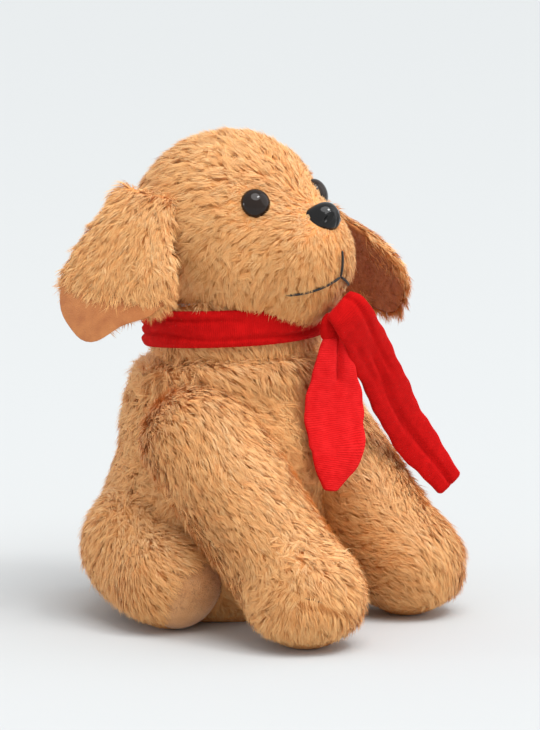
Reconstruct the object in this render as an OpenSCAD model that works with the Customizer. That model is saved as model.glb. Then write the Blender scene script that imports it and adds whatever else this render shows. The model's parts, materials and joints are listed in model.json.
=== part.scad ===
// Sitting plush dog with a tied scarf. Millimetres. The dog faces -Y and its left side is +X.
// The origin is on the table, under the middle of the seat.

/* [Torso] */
// Widest radius of the seat
seat_r = 56; // [52:1:60]
// Height of the widest part of the seat
seat_z = 38; // [34:1:42]
// Radius of the neck under the scarf
neck_r = 38; // [36:0.5:39]
// Height of the seam between the torso and the neck
neck_z = 122; // [118:1:124]
// Forward lean of the torso in degrees
torso_lean = 7; // [5:1:9]
// Thickness of the plush fabric with its pile pressed flat
skin_t = 2.5; // [2:0.1:3]

/* [Head] */
// Radius of the skull
head_r = 42.5; // [40:0.5:44]
// Distance of the skull's middle in front of the seat's middle
head_forward = 6; // [4:1:8]
// Height of the skull's middle
head_z = 180; // [178:1:184]
// Radius of the muzzle
muzzle_r = 24; // [22:0.5:25]
// Distance of the muzzle's middle in front of the skull's middle
muzzle_forward = 40; // [36:1:42]
// Drop of the muzzle's middle below the skull's middle
muzzle_drop = 5; // [3:1:6]
// Diameter of each safety eye
eye_d = 14; // [12:0.5:15]
// Width of the moulded nose
nose_w = 19; // [17:0.5:21]
// Diameter of the shanks of the eyes and the nose
shank_d = 4.4; // [3.5:0.1:5]

/* [Ears] */
// Length of each ear flap
ear_length = 66; // [58:1:70]
// Width of each ear flap at its widest
ear_width = 58; // [50:1:62]
// Thickness of the long-pile side of an ear
ear_pile_t = 3.4; // [2.5:0.1:4]
// Thickness of the short-pile lining of an ear
ear_lining_t = 1.8; // [1.2:0.1:2.2]

/* [Legs] */
// Radius of a front leg at the shoulder
shoulder_r = 26; // [24:0.5:27]
// Radius of a front paw
paw_r = 25; // [23:0.5:26]
// Reach of the right front paw in front of the seat's middle
right_paw_forward = 86; // [80:1:90]
// Reach of the left front paw in front of the seat's middle
left_paw_forward = 78; // [74:1:86]
// Radius of a hind leg at the hip
hip_r = 26; // [24:0.5:27]
// Radius of a hind foot
foot_r = 24.5; // [23:0.5:25]

/* [Scarf] */
// Height of the folded band round the neck
band_h = 14.5; // [12:0.5:15]
// Thickness of the folded band
band_t = 6; // [4.5:0.5:6.5]
// Width of the hanging tails
tail_w = 22; // [18:1:25]
// Thickness of the hanging tails
tail_t = 4.4; // [3.5:0.2:5]

/* [Hidden] */
// Gap between two bodies that move against each other
gap = 0.5;
// Gap between two pieces of one body
fit = 0.2;
arc_steps = 9;
fur_colour = "#E8B478";
deep_fur_colour = "#C98B4E";
lining_colour = "#9A5A2C";
scarf_colour = "#C81E1C";
dark_scarf_colour = "#AE1513";
wadding_colour = "#F3EFE6";
black_colour = "#191715";
washer_colour = "#E4E2DA";

head_at = [0, -head_forward, head_z];
muzzle_at = head_at + [0, -muzzle_forward, -muzzle_drop];
neck_base_at = [0, -12, neck_z];
neck_axis = head_at - neck_base_at;
nod_back = -15;
nod_down = 5;
shoulder_at = [38, -20, 88];
right_paw_at = [-45, -right_paw_forward, paw_r - 1];
left_paw_at = [44, -left_paw_forward, paw_r - 1];
hip_at = [38, 14, 32];
foot_at = [51, -12, foot_r - 1];
rump_at = [0, 50, 24];
rump_tip_at = [0, 62, 25];
rump_r = 11;
rump_tip_r = 8;
pouch_at = [8, -18, 24];
pouch_r = 12;
leg_swing_axis = [-1, 0, 0];
right_leg_lift = 20;
left_leg_lift = 8;
eye_direction = [0.5, -0.755, 0.42];
nose_direction = [0, -0.62, 0.785];
knot_at = [9, -66, 140];
band_z = 136.5;

// ---- vectors and shapes that repeat ----

function unit(v) = v / norm(v);
function mirrored(v) = [-v[0], v[1], v[2]];

// A frame whose X axis is along v, and whose XY plane holds w.
function frame_of(v, w, at) =
    let (x = unit(v), z = unit(cross(v, w)), y = cross(z, x))
    [[x[0], y[0], z[0], at[0]], [x[1], y[1], z[1], at[1]], [x[2], y[2], z[2], at[2]], [0, 0, 0, 1]];

// Turns the shape's +Z to the direction v.
module aim(v, at = [0, 0, 0]) {
    translate(at)
        rotate([0, acos(unit(v)[2]), atan2(v[1], v[0])])
            children();
}

module turn_about(at, axis, degrees) {
    translate(at)
        rotate(a = degrees, v = axis)
            translate(-at)
                children();
}

// The outline of a ball at 0 and a ball at length, with the cone that touches both.
function limb_outline(r1, r2, length) =
    let (lean = asin((r1 - r2) / length))
    concat(
        [for (i = [0:arc_steps]) let (a = -90 + (lean + 90) * i / arc_steps) [r1 * cos(a), r1 * sin(a)]],
        [for (i = [0:arc_steps]) let (a = lean + (90 - lean) * i / arc_steps)
            [r2 * cos(a), length + r2 * sin(a)]]);

module limb(from, r1, to, r2) {
    aim(to - from, from)
        rotate([0, 0, 90])
            rotate_extrude($fn = 48)
                polygon(limb_outline(r1, r2, norm(to - from)));
}

module above_table() {
    intersection() {
        children();
        translate([-150, -150, 0])
            cube([300, 300, 300]);
    }
}

// ---- torso ----

function torso_r(z) =
    z < seat_z
        ? seat_r * sqrt(1 - pow((seat_z - z) / (seat_z + 9), 2))
        : z < neck_z
            ? neck_r + (seat_r - neck_r) * (0.5 + 0.5 * cos(180 * (z - seat_z) / (neck_z - seat_z)))
            : neck_r;

torso_top = neck_z + 12;

module torso_form(inset) {
    base = inset - 6;
    steps = 12;
    outline = [for (i = [0:steps]) let (z = base + (torso_top - base) * i / steps) [torso_r(z) - inset, z]];
    intersection() {
        rotate([torso_lean, 0, 0])
            rotate_extrude($fn = 72)
                polygon(concat([[0, base]], outline, [[0, torso_top]]));
        translate([-150, -150, inset])
            cube([300, 300, 300]);
        aim(neck_axis, neck_base_at)
            translate([-100, -100, -200 - inset])
                cube([200, 200, 200]);
    }
}

// The hollows in which the limbs sit, each wider than its limb by the clearance g.
module ball_hollows(g) {
    for (side = [-1, 1])
        translate([side * hip_at[0], hip_at[1], hip_at[2]])
            sphere(r = hip_r + g, $fn = 60);
    translate(rump_at)
        sphere(r = rump_r + g + 2, $fn = 48);
}

// The straight stretch of a limb that leaves its ball.
module cone_hollow(from, r1, to, r2) {
    length = norm(to - from);
    lean = asin((r1 - r2) / length);
    rise = 0.1;
    aim(to - from, from)
        rotate([0, 0, 90])
            translate([0, 0, r1 * sin(lean)])
                cylinder(r1 = r1 * cos(lean) + rise, r2 = r2 * cos(lean) + rise, h = length, $fn = 60);
}

module foot_hollows(g) {
    for (side = [-1, 1])
        translate([side * foot_at[0], foot_at[1], foot_at[2]])
            sphere(r = foot_r + g, $fn = 60);
}

// The side view of a front leg as it swings up: round at the shoulder, open towards the paw.
function swing_outline(shoulder, paw, lift, r) =
    let (rest = atan2(paw[2] - shoulder[2], paw[1] - shoulder[1]) + 360,
        raised = rest - lift,
        reach = 120,
        y = shoulder[1],
        z = shoulder[2])
    concat(
        [for (i = [0:arc_steps]) let (a = rest - 270 + (raised - rest + 180) * i / arc_steps)
            [y + r * cos(a), z + r * sin(a)]],
        [for (end = [[raised, -90], [rest, 90]])
            [y + reach * cos(end[0]) + r * cos(end[0] + end[1]), z + reach * sin(end[0]) + r * sin(end[0] + end[1])]]);

module shoulder_hollow(side, paw, lift, g) {
    inner = shoulder_at[0] - shoulder_r - g;
    mirror([side < 0 ? 1 : 0, 0, 0])
        translate([inner, 0, 0])
            rotate([90, 0, 90])
                linear_extrude(height = 90)
                    polygon(swing_outline(shoulder_at, paw, lift, shoulder_r + g));
}

module cut_hollows(g) {
    difference() {
        children();
        ball_hollows(g);
        foot_hollows(g);
        for (side = [-1, 1])
            cone_hollow([side * hip_at[0], hip_at[1], hip_at[2]], hip_r + g,
                [side * foot_at[0], foot_at[1], foot_at[2]], foot_r + g);
        shoulder_hollow(1, left_paw_at, left_leg_lift, g);
        shoulder_hollow(-1, right_paw_at, right_leg_lift, g);
    }
}

module torso_inside(g) {
    cut_hollows(gap + skin_t + g)
        torso_form(skin_t + g);
}

module torso_skin() {
    color(fur_colour)
        difference() {
            cut_hollows(gap)
                torso_form(0);
            torso_inside(0);
        }
}

module torso_stuffing() {
    color(wadding_colour)
        difference() {
            torso_inside(fit);
            limb(mirrored(pouch_at), pouch_r + fit, pouch_at, pouch_r + fit);
        }
}

module pellet_pouch() {
    color("tan")
        limb(mirrored(pouch_at), pouch_r, pouch_at, pouch_r);
}

// ---- neck ----

// A short column round the neck's own axis, hollowed above for the skull and the nodding muzzle.
module neck_column(inset, g) {
    difference() {
        aim(neck_axis, neck_base_at)
            translate([0, 0, gap + inset])
                cylinder(r = neck_r - inset, h = 45, $fn = 72);
        translate(head_at)
            sphere(r = head_r + g, $fn = 72);
        for (nod = [nod_back, (nod_back + nod_down) / 2, nod_down])
            turn_about(head_at, [1, 0, 0], nod)
                translate(muzzle_at)
                    sphere(r = muzzle_r + g, $fn = 60);
    }
}

module neck_skin() {
    color(fur_colour)
        difference() {
            neck_column(0, gap);
            neck_column(skin_t, gap + skin_t);
        }
}

module neck_stuffing() {
    inset = skin_t + fit;
    color(wadding_colour)
        neck_column(inset, gap + inset);
}

// ---- head ----

module head_form(inset) {
    translate(head_at)
        sphere(r = head_r - inset, $fn = 72);
    translate(muzzle_at)
        sphere(r = muzzle_r - inset, $fn = 60);
}

module at_eye(side) {
    aim([side * eye_direction[0], eye_direction[1], eye_direction[2]], head_at)
        children();
}

module at_nose() {
    aim(nose_direction, muzzle_at)
        children();
}

module shank_hole(surface, r) {
    translate([0, 0, surface - 14])
        cylinder(r = r, h = 20, $fn = 32);
}

module washer_hole(surface, g) {
    translate([0, 0, surface - skin_t - 2.6 - g])
        cylinder(r = 6.5 + g, h = 2.6 + g, $fn = 40);
}

module head_skin() {
    color(fur_colour)
        difference() {
            head_form(0);
            head_form(skin_t);
            for (side = [-1, 1])
                at_eye(side)
                    shank_hole(head_r, shank_d / 2 + fit);
            at_nose()
                shank_hole(muzzle_r, shank_d / 2 + fit);
        }
}

module head_stuffing() {
    color(wadding_colour)
        difference() {
            head_form(skin_t + fit);
            for (side = [-1, 1])
                at_eye(side) {
                    shank_hole(head_r, shank_d / 2 + fit);
                    washer_hole(head_r, fit);
                }
            at_nose() {
                shank_hole(muzzle_r, shank_d / 2 + fit);
                washer_hole(muzzle_r, fit);
            }
        }
}

// A domed button on a shank; the shank runs inwards through the fabric.
module safety_eye(side) {
    dome_r = eye_d / 2;
    dome_h = 5.2;
    ball_r = (dome_r * dome_r + dome_h * dome_h) / (2 * dome_h);
    color(black_colour)
        at_eye(side)
            translate([0, 0, head_r + 0.15]) {
                intersection() {
                    translate([0, 0, dome_h - ball_r])
                        sphere(r = ball_r, $fn = 48);
                    cylinder(r = dome_r + 1, h = dome_h + 1, $fn = 48);
                }
                translate([0, 0, -12])
                    cylinder(r = shank_d / 2, h = 12.5, $fn = 32);
            }
}

module washer(surface) {
    inner = surface - skin_t - 2.4;
    translate([0, 0, inner])
        difference() {
            cylinder(r = 6.5, h = 1.4, $fn = 40);
            translate([0, 0, -1])
                cylinder(r = shank_d / 2 + 0.1, h = 4, $fn = 32);
        }
}

module eye_left() { safety_eye(1); }
module eye_right() { safety_eye(-1); }

module eye_washer(side) {
    color(washer_colour)
        at_eye(side)
            washer(head_r);
}

module eye_washer_left() { eye_washer(1); }
module eye_washer_right() { eye_washer(-1); }

module nose_washer() {
    color(washer_colour)
        at_nose()
            washer(muzzle_r);
}

// A wide rounded triangle, point downwards, with two nostrils pressed into its front.
module nose() {
    corner_r = 4.4;
    side = nose_w / 2 - corner_r;
    color(black_colour)
        at_nose()
            translate([0, 0, muzzle_r + 0.15]) {
                difference() {
                    intersection() {
                        hull() {
                            for (y = [-side, side])
                                translate([-1.6, y, 1.6])
                                    sphere(r = corner_r, $fn = 28);
                            translate([3.4, 0, 1.4])
                                sphere(r = corner_r - 0.4, $fn = 28);
                            translate([-1, 0, 3])
                                sphere(r = corner_r, $fn = 28);
                        }
                        translate([-15, -15, 0])
                            cube([30, 30, 15]);
                    }
                    for (y = [-3.6, 3.6])
                        translate([2.6, y, 6.6])
                            sphere(r = 1.5, $fn = 24);
                }
                translate([0, 0, -12])
                    cylinder(r = shank_d / 2, h = 12.5, $fn = 32);
            }
}

// A thread laid along a great circle of a ball, from one direction towards another.
module thread_on_ball(at, ball_r, from, towards, degrees, thread_r) {
    multmatrix(frame_of(from, towards, at))
        rotate_extrude(angle = degrees, $fn = 72)
            translate([ball_r + thread_r + 0.05, 0])
                circle(r = thread_r, $fn = 24);
}

module mouth_stitching() {
    thread_r = 0.6;
    mouth_middle = [0, -0.945, -0.327];
    color(black_colour) {
        thread_on_ball(muzzle_at, muzzle_r, mouth_middle, [0, -0.8, 0.6], 25, thread_r);
        for (side = [-1, 1])
            thread_on_ball(muzzle_at, muzzle_r, mouth_middle, [side * 0.72, -0.41, -0.56], 56, thread_r);
    }
}

// ---- ears ----

// The flap hangs along -Z from its seam on the Y axis; +X is its furry side.
ear_dome_r = 110;
ear_seam_r = 2;
ear_seam_length = 24;

module ear_outline() {
    corner_r = 13;
    hull() {
        translate([-11, -5])
            circle(r = 4, $fn = 24);
        translate([11, -5])
            circle(r = 4, $fn = 24);
        translate([-ear_width / 2 + corner_r + 2, -ear_length * 0.7])
            circle(r = corner_r, $fn = 32);
        translate([ear_width / 2 - corner_r, -ear_length * 0.62])
            circle(r = corner_r, $fn = 32);
        translate([-3, -ear_length + corner_r])
            circle(r = corner_r, $fn = 32);
    }
}

module ear_layer(outer, inner) {
    intersection() {
        translate([-20, 0, 0])
            rotate([90, 0, 90])
                linear_extrude(height = 40)
                    ear_outline();
        translate([-ear_dome_r + 4, 0, -ear_length * 0.45])
            difference() {
                sphere(r = ear_dome_r + outer, $fn = 96);
                sphere(r = ear_dome_r + inner, $fn = 96);
            }
    }
}

// Where each ear is sewn on, the turn of its seam about Z, how far its flap stands out,
// and how far it swings in its own plane.
left_ear_at = [45, -12, 187];
right_ear_at = [-41.5, 7, 203.5];
left_ear_turn = 0;
right_ear_turn = 10;
left_ear_out = 34;
right_ear_out = 26;
left_ear_swing = -35;
right_ear_swing = -10;

module place_ear(side) {
    at = side > 0 ? left_ear_at : right_ear_at;
    turned = side > 0 ? left_ear_turn : 180 + right_ear_turn;
    out = side > 0 ? left_ear_out : right_ear_out;
    swing = side > 0 ? left_ear_swing : right_ear_swing;
    translate(at)
        rotate([0, 0, turned])
            rotate([0, -out, 0])
                rotate([swing, 0, 0])
                    children();
}

// The rolled seam along the top of the flap.
module ear_seam(side, r) {
    at = side > 0 ? left_ear_at : right_ear_at;
    turned = side > 0 ? left_ear_turn : 180 + right_ear_turn;
    translate(at)
        rotate([90, 0, turned])
            translate([0, 0, -ear_seam_length / 2])
                cylinder(r = r, h = ear_seam_length, $fn = 32);
}

module ear_pile(side) {
    color(fur_colour)
        union() {
            place_ear(side)
                ear_layer(ear_pile_t, fit);
            ear_seam(side, ear_seam_r);
        }
}

module ear_lining(side) {
    color(lining_colour)
        difference() {
            place_ear(side)
                ear_layer(0, -ear_lining_t);
            ear_seam(side, ear_seam_r + fit);
        }
}

module ear_left_pile() { ear_pile(1); }
module ear_left_lining() { ear_lining(1); }
module ear_right_pile() { ear_pile(-1); }
module ear_right_lining() { ear_lining(-1); }

// ---- legs ----

module hollow_limb(from, r1, to, r2) {
    difference() {
        limb(from, r1, to, r2);
        limb(from, r1 - skin_t, to, r2 - skin_t);
    }
}

module front_leg_skin(shoulder, paw) {
    color(fur_colour)
        above_table()
            hollow_limb(shoulder, shoulder_r, paw, paw_r);
}

module limb_stuffing(from, r1, to, r2) {
    inset = skin_t + fit;
    color(wadding_colour)
        limb(from, r1 - inset, to, r2 - inset);
}

// One line of stitches runs round the outer side of the paw to its front.
module paw_stitching(side, paw) {
    color(deep_fur_colour)
        thread_on_ball(paw, paw_r, [side * 0.77, -0.62, 0.16], [side * 0.1, -0.99, -0.06], 50, 0.5);
}

module front_leg_left_skin() { front_leg_skin(shoulder_at, left_paw_at); }
module front_leg_left_stuffing() { limb_stuffing(shoulder_at, shoulder_r, left_paw_at, paw_r); }
module front_leg_left_paw_stitching() { paw_stitching(1, left_paw_at); }
module front_leg_right_skin() { front_leg_skin(mirrored(shoulder_at), right_paw_at); }
module front_leg_right_stuffing() { limb_stuffing(mirrored(shoulder_at), shoulder_r, right_paw_at, paw_r); }
module front_leg_right_paw_stitching() { paw_stitching(-1, right_paw_at); }

// The short-pile sole closes the front and underside of the hind foot.
sole_direction = [0.1, -0.85, -0.3];
sole_depth = 13;

module sole_side(foot, side, shift) {
    aim([side * sole_direction[0], sole_direction[1], sole_direction[2]], foot)
        translate([-60, -60, foot_r - sole_depth + shift])
            cube([120, 120, 80]);
}

module hind_leg_skin(side, hip, foot) {
    color(fur_colour)
        above_table()
            difference() {
                hollow_limb(hip, hip_r, foot, foot_r);
                sole_side(foot, side, 0);
            }
}

module hind_leg_sole(side, hip, foot) {
    color(lining_colour)
        above_table()
            intersection() {
                hollow_limb(hip, hip_r, foot, foot_r);
                sole_side(foot, side, fit);
            }
}

module hind_leg_left_skin() { hind_leg_skin(1, hip_at, foot_at); }
module hind_leg_left_stuffing() { limb_stuffing(hip_at, hip_r, foot_at, foot_r); }
module hind_leg_left_sole() { hind_leg_sole(1, hip_at, foot_at); }
module hind_leg_right_skin() { hind_leg_skin(-1, mirrored(hip_at), mirrored(foot_at)); }
module hind_leg_right_stuffing() { limb_stuffing(mirrored(hip_at), hip_r, mirrored(foot_at), foot_r); }
module hind_leg_right_sole() { hind_leg_sole(-1, mirrored(hip_at), mirrored(foot_at)); }

// ---- tail ----

module tail_skin() {
    color(fur_colour)
        hollow_limb(rump_at, rump_r, rump_tip_at, rump_tip_r);
}

module tail_stuffing() {
    limb_stuffing(rump_at, rump_r, rump_tip_at, rump_tip_r);
}

// ---- scarf ----

// A folded band with round edges, square to the neck's axis.
module scarf_band() {
    edge_r = band_t / 2 - 0.05;
    inner_r = neck_r + gap;
    color(scarf_colour)
        aim(neck_axis, neck_base_at)
            translate([0, 0, band_z - neck_z - band_h / 2])
                rotate_extrude($fn = 96)
                    union() {
                        translate([inner_r, edge_r])
                            square([band_t, band_h - 2 * edge_r]);
                        for (z = [edge_r, band_h - edge_r])
                            translate([inner_r + band_t / 2, z])
                                circle(r = edge_r, $fn = 32);
                    }
}

module scarf_knot() {
    fold_r = 4.2;
    color(dark_scarf_colour)
        hull() {
            translate(knot_at + [-7, -1.4, 5])
                sphere(r = fold_r, $fn = 24);
            translate(knot_at + [7, -0.6, 5.6])
                sphere(r = fold_r, $fn = 24);
            translate(knot_at + [-5, -1.6, -6])
                sphere(r = fold_r, $fn = 24);
            translate(knot_at + [6, -1.2, -5.4])
                sphere(r = fold_r, $fn = 24);
        }
}

// A flat tail through the points of its middle line; each station has its own half width.
module ribbon_tail(points, half_widths, across) {
    for (i = [0:len(points) - 2])
        hull()
            for (k = [i, i + 1])
                for (s = [-1, 1])
                    translate(points[k] + s * (half_widths[k] - tail_t / 2) * unit(across))
                        sphere(r = tail_t / 2, $fn = 16);
}

short_tail_points = [[5, -67, 125], [4, -66, 104], [5, -69, 84], [3, -66, 67]];
short_tail_shares = [0.24, 0.62, 0.52, 0.14];
short_tail_across = [0.85, -0.5, 0];
long_tail_points = [[3, -77.5, 147], [24, -77, 122], [46, -76, 90], [72, -85, 60]];
long_tail_shares = [0.42, 0.48, 0.5, 0.44];
long_tail_across = [0.75, -0.35, 0.55];

module scarf_short_tail() {
    color(scarf_colour)
        ribbon_tail(short_tail_points, tail_w * short_tail_shares, short_tail_across);
}

module scarf_long_tail() {
    color(scarf_colour)
        ribbon_tail(long_tail_points, tail_w * long_tail_shares, long_tail_across);
}

torso_skin();
torso_stuffing();
pellet_pouch();
neck_skin();
neck_stuffing();
head_skin();
head_stuffing();
eye_left();
eye_right();
eye_washer_left();
eye_washer_right();
nose();
nose_washer();
mouth_stitching();
ear_left_pile();
ear_left_lining();
ear_right_pile();
ear_right_lining();
front_leg_left_skin();
front_leg_left_stuffing();
front_leg_left_paw_stitching();
front_leg_right_skin();
front_leg_right_stuffing();
front_leg_right_paw_stitching();
hind_leg_left_skin();
hind_leg_left_stuffing();
hind_leg_left_sole();
hind_leg_right_skin();
hind_leg_right_stuffing();
hind_leg_right_sole();
tail_skin();
tail_stuffing();
scarf_band();
scarf_knot();
scarf_short_tail();
scarf_long_tail();
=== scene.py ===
"""Looks for the sitting plush dog: furred skins, ears, face, scarf, floor, light and camera."""
import json
import math

import bmesh
import bpy
import numpy as np
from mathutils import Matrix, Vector, kdtree


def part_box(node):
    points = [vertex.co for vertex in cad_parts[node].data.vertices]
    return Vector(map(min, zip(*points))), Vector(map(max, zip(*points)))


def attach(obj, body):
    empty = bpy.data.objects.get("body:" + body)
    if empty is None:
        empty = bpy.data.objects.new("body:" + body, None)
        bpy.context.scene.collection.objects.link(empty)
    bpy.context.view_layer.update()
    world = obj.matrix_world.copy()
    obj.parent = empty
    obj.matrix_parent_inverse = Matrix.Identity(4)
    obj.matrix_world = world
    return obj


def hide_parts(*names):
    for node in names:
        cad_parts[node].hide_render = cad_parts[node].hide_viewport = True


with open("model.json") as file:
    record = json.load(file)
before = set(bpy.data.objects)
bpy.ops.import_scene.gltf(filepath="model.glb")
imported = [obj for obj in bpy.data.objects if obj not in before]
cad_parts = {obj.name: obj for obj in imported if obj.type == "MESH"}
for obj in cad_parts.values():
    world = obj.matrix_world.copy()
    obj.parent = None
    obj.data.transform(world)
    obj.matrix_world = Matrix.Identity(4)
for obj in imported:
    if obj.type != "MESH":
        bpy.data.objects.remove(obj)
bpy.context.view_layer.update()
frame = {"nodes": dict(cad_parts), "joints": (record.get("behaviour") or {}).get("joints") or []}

MM = 0.001
JOINTS = {j["name"]: j for j in frame["joints"]}


def pivot(joint):
    return np.array(JOINTS[joint]["pos_m"], float)


def low(node):
    return np.array(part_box(node)[0], float)


def high(node):
    return np.array(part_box(node)[1], float)


# ---- sizes, from the frame ----

HEAD = pivot("head_nod")
HEAD_R = (high("head_skin")[0] - low("head_skin")[0]) / 2
MUZZLE_R = 24 * MM
MUZZLE = np.array([0, low("head_skin")[1] + MUZZLE_R, HEAD[2] - 5 * MM])
PAW_R = 25 * MM
SHOULDER_R = 26 * MM
HIP_R = 26 * MM
FOOT_R = 24.5 * MM
LEGS = {}
for side_name, side in (("left", 1), ("right", -1)):
    cover_node = "front_leg_" + side_name + "_skin"
    outer = high(cover_node)[0] if side > 0 else low(cover_node)[0]
    paw = np.array([outer - side * PAW_R, low(cover_node)[1] + PAW_R, PAW_R - 1 * MM])
    LEGS[side_name] = (pivot("front_leg_" + side_name + "_raise"), paw)
HIPS = {}
for side_name, side in (("left", 1), ("right", -1)):
    foot = np.array([side * 51 * MM, -12 * MM, FOOT_R - 1 * MM])
    HIPS[side_name] = (pivot("hind_leg_" + side_name + "_splay"), foot)
RUMP = pivot("tail_wag")
RUMP_TIP = RUMP + np.array([0, 12, 1]) * MM
NECK_BASE = np.array([0, -12, 122]) * MM
NECK_AXIS = (HEAD - NECK_BASE) / np.linalg.norm(HEAD - NECK_BASE)
NECK_R = 38 * MM
NECK_HEIGHT = 30 * MM
BAND_R = 41.3 * MM
BAND_RISE = 17.2 * MM
BAND_HALF = 8.6 * MM
TORSO_MIDDLE = np.array([0, -2, 65]) * MM
RAY_REACH = 0.06
EYE_WAY = {side: np.array([side * 0.5, -0.755, 0.42]) for side in (-1, 1)}
for side in EYE_WAY:
    EYE_WAY[side] /= np.linalg.norm(EYE_WAY[side])
NOSE_WAY = np.array([0, -0.62, 0.785])
MOUTH_MIDDLE = np.array([0, -0.945, -0.327])
DOWN = np.array([0, 0, -1.0])


def unit(v):
    v = np.asarray(v, float)
    return v / np.maximum(np.linalg.norm(v, axis=-1, keepdims=True), 1e-12)


# ---- camera ----

FRONT_TURN = math.radians(52)
ELEVATION = math.radians(9.5)
DISTANCE = 2.6
FRAME_HEIGHT = 0.345
SENSOR = 36
AIM = Vector((0.0153, -0.0195, 0.1166))


def make_camera():
    data = bpy.data.cameras.new("camera")
    data.sensor_width = SENSOR
    data.lens = SENSOR * DISTANCE / FRAME_HEIGHT
    camera = bpy.data.objects.new("camera", data)
    bpy.context.scene.collection.objects.link(camera)
    level = math.cos(ELEVATION)
    way = Vector((-math.sin(FRONT_TURN) * level, -math.cos(FRONT_TURN) * level, math.sin(ELEVATION)))
    camera.location = AIM + way * DISTANCE
    camera.rotation_euler = way.to_track_quat("Z", "Y").to_euler()
    bpy.context.scene.camera = camera


make_camera()

# ---- materials ----


def principled(name, colour, roughness, **settings):
    material = bpy.data.materials.new(name)
    material.use_nodes = True
    shader = material.node_tree.nodes["Principled BSDF"]
    shader.inputs["Base Color"].default_value = (*colour, 1)
    shader.inputs["Roughness"].default_value = roughness
    for key, value in settings.items():
        shader.inputs[key.replace("_", " ")].default_value = value
    return material, shader


def noise_colour(material, shader, first, second, scale, detail=4.0):
    """Colour that wanders between two shades with a noise of the given scale."""
    tree = material.node_tree
    where = tree.nodes.new("ShaderNodeTexCoord")
    noise = tree.nodes.new("ShaderNodeTexNoise")
    noise.inputs["Scale"].default_value = scale
    noise.inputs["Detail"].default_value = detail
    ramp = tree.nodes.new("ShaderNodeValToRGB")
    ramp.color_ramp.elements[0].position = 0.3
    ramp.color_ramp.elements[0].color = (*first, 1)
    ramp.color_ramp.elements[1].position = 0.7
    ramp.color_ramp.elements[1].color = (*second, 1)
    tree.links.new(where.outputs["Object"], noise.inputs["Vector"])
    tree.links.new(noise.outputs["Fac"], ramp.inputs["Fac"])
    tree.links.new(ramp.outputs["Color"], shader.inputs["Base Color"])


def bump_from(material, shader, height, strength):
    """Fine relief from a height output."""
    tree = material.node_tree
    bump = tree.nodes.new("ShaderNodeBump")
    bump.inputs["Strength"].default_value = strength
    bump.inputs["Distance"].default_value = 0.6 * MM
    tree.links.new(height, bump.inputs["Height"])
    tree.links.new(bump.outputs["Normal"], shader.inputs["Normal"])


def cloth_material(name, first, second, scale, bump_scale, roughness=0.95, **settings):
    material, shader = principled(name, first, roughness, **settings)
    noise_colour(material, shader, first, second, scale)
    grain = material.node_tree.nodes.new("ShaderNodeTexNoise")
    grain.inputs["Scale"].default_value = bump_scale
    grain.inputs["Detail"].default_value = 3
    where = material.node_tree.nodes.new("ShaderNodeTexCoord")
    material.node_tree.links.new(where.outputs["Object"], grain.inputs["Vector"])
    bump_from(material, shader, grain.outputs["Fac"], 0.6)
    return material


RIB_PITCH = 1 * MM
# A wave texture at scale 1 repeats about every 0.314 units.
WAVE_UNIT = 0.314


def ribbed_material(name, first, second):
    """Fine courses across the strip, from the UV's length in metres, with a little fuzz."""
    material, shader = principled(name, first, 0.95, Sheen_Weight=0.25, Sheen_Roughness=0.4,
                                  Specular_IOR_Level=0.08)
    shader.inputs["Sheen Tint"].default_value = (1.0, 0.12, 0.1, 1)
    noise_colour(material, shader, first, second, 260)
    tree = material.node_tree
    where = tree.nodes.new("ShaderNodeUVMap")
    wave = tree.nodes.new("ShaderNodeTexWave")
    wave.wave_type = "BANDS"
    wave.bands_direction = "Y"
    wave.inputs["Scale"].default_value = WAVE_UNIT / RIB_PITCH
    wave.inputs["Distortion"].default_value = 3.0
    wave.inputs["Detail"].default_value = 3.0
    wave.inputs["Detail Scale"].default_value = 3
    tree.links.new(where.outputs["UV"], wave.inputs["Vector"])
    bump_from(material, shader, wave.outputs["Fac"], 0.45)
    return material


MIDDLE_COLOURS = [(0.91, 0.40, 0.115), (0.93, 0.44, 0.14), (0.95, 0.48, 0.17)]
TIP_COLOURS = [(0.94, 0.46, 0.155), (0.96, 0.53, 0.205), (0.98, 0.61, 0.28)]


def pile_material(name, colour):
    return principled(name, colour, 0.5, Sheen_Weight=0.08, Sheen_Roughness=0.5, Specular_IOR_Level=0.35)[0]


PILE = ([pile_material("pile_middle_" + str(i), c) for i, c in enumerate(MIDDLE_COLOURS)]
        + [pile_material("pile_tip_" + str(i), c) for i, c in enumerate(TIP_COLOURS)])
BACKING = cloth_material("pile_backing", (0.82, 0.34, 0.10), (0.88, 0.39, 0.12), 90, 900)
LINING = cloth_material("short_pile_lining", (0.42, 0.13, 0.032), (0.55, 0.20, 0.055), 160, 1500,
                        Sheen_Weight=0.3)
SOLE = cloth_material("short_pile_sole", (0.68, 0.32, 0.12), (0.78, 0.40, 0.17), 160, 1500, Sheen_Weight=0.3)
SHORT_PILE = [pile_material("short_pile_dark", (0.44, 0.135, 0.03)),
              pile_material("short_pile_light", (0.58, 0.22, 0.07))]
SOLE_PILE = [pile_material("sole_pile_dark", (0.62, 0.30, 0.13)),
             pile_material("sole_pile_light", (0.74, 0.42, 0.21))]
SCARF = ribbed_material("scarf_velour", (0.50, 0.004, 0.004), (0.62, 0.006, 0.006))
# A brighter copy of the scarf velour for the short tail: painted light on the same cloth as the band and the
# long tail.
SCARF_PAINTED_LIT = ribbed_material("scarf_velour_lit", (0.74, 0.010, 0.012), (0.86, 0.018, 0.020))
SCARF_PLAIN = cloth_material("scarf_velour_knot", (0.48, 0.004, 0.004), (0.60, 0.006, 0.006), 260, 700,
                             Specular_IOR_Level=0.08)
WADDING = cloth_material("fibre_wadding", (0.86, 0.84, 0.8), (0.94, 0.93, 0.9), 120, 400)
POUCH_CLOTH = cloth_material("pellet_cloth", (0.55, 0.45, 0.32), (0.62, 0.52, 0.38), 200, 1200)
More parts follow.
